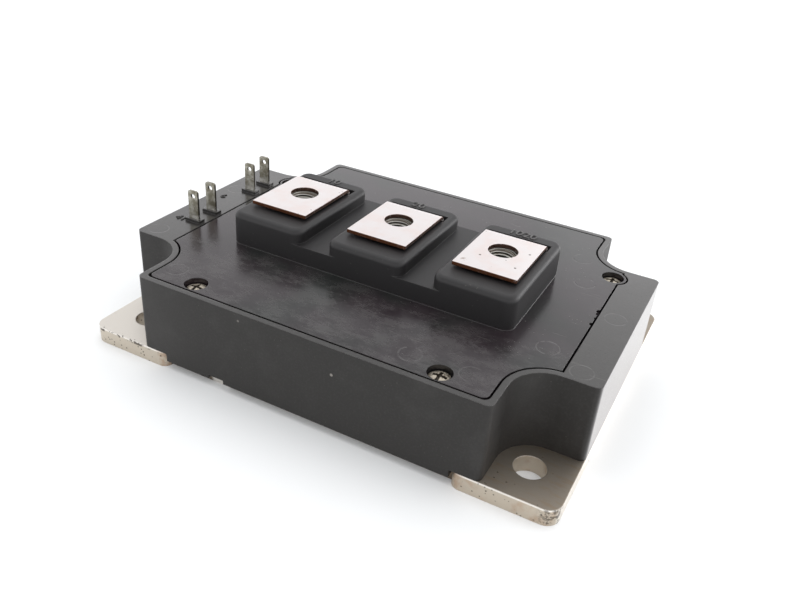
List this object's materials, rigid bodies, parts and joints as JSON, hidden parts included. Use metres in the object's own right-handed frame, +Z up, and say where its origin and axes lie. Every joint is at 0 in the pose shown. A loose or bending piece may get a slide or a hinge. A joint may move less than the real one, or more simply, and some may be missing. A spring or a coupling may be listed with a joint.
{
  "type": "igbt module",
  "caption": "Flat half-bridge power transistor module: plated metal base with bolt ears, dark moulded case and lid, raised screw terminals on top and upright signal tabs at one end.",
  "frame": {"origin": "centre of the underside of the baseplate", "axes": "+X along the length, away from the signal tabs; +Y across the width, towards the side where the terminal straps enter the lid; +Z up out of the baseplate"},
  "size_m": [0.11, 0.08, 0.03],
  "materials": {
    "plated_base": "satin nickel plating over copper, worn at edges",
    "case_plastic": "matt glass-filled moulding",
    "lid_plastic": "semi-gloss moulding with faint dust and scratches",
    "seal_rubber": "cured sealing bead",
    "screw_steel": "bright zinc-plated steel",
    "plated_strap": "bright nickel plating, copper showing at cut edges",
    "nut_steel": "bright zinc-plated steel",
    "tinned_tab": "dull tarnished tin plating",
    "bare_copper": "etched copper",
    "white_ceramic": "ground alumina",
    "silicon_chip": "metallised silicon",
    "aluminium_wire": "drawn aluminium wire",
    "lead_sleeve": "smooth insulating sleeve",
    "clear_gel": "soft clear silicone"
  },
  "bodies": {
    "root": {"baseplate": "plated_base", "case": "case_plastic", "case_seal": "seal_rubber", "lid": "lid_plastic", "lid_screw_1": "screw_steel", "lid_screw_2": "screw_steel", "lid_screw_3": "screw_steel", "lid_screw_4": "screw_steel", "main_terminal_1": "plated_strap", "main_terminal_2": "plated_strap", "main_terminal_3": "plated_strap", "terminal_nut_1": "nut_steel", "terminal_nut_2": "nut_steel", "terminal_nut_3": "nut_steel", "signal_tab_1": "tinned_tab", "signal_tab_2": "tinned_tab", "signal_tab_3": "tinned_tab", "signal_tab_4": "tinned_tab", "back_copper_1": "bare_copper", "back_copper_2": "bare_copper", "ceramic_1": "white_ceramic", "ceramic_2": "white_ceramic", "collector_copper_1": "bare_copper", "collector_copper_2": "bare_copper", "emitter_copper_1": "bare_copper", "emitter_copper_2": "bare_copper", "gate_copper_1": "bare_copper", "gate_copper_2": "bare_copper", "igbt_chip_1": "silicon_chip", "igbt_chip_2": "silicon_chip", "igbt_chip_3": "silicon_chip", "igbt_chip_4": "silicon_chip", "diode_chip_1": "silicon_chip", "diode_chip_2": "silicon_chip", "diode_chip_3": "silicon_chip", "diode_chip_4": "silicon_chip", "bond_wires_1": "aluminium_wire", "bond_wires_2": "aluminium_wire", "link_wires": "aluminium_wire", "signal_lead_1": "lead_sleeve", "signal_lead_2": "lead_sleeve", "signal_lead_3": "lead_sleeve", "signal_lead_4": "lead_sleeve", "silicone_gel": "clear_gel"}
  },
  "joints": []
}
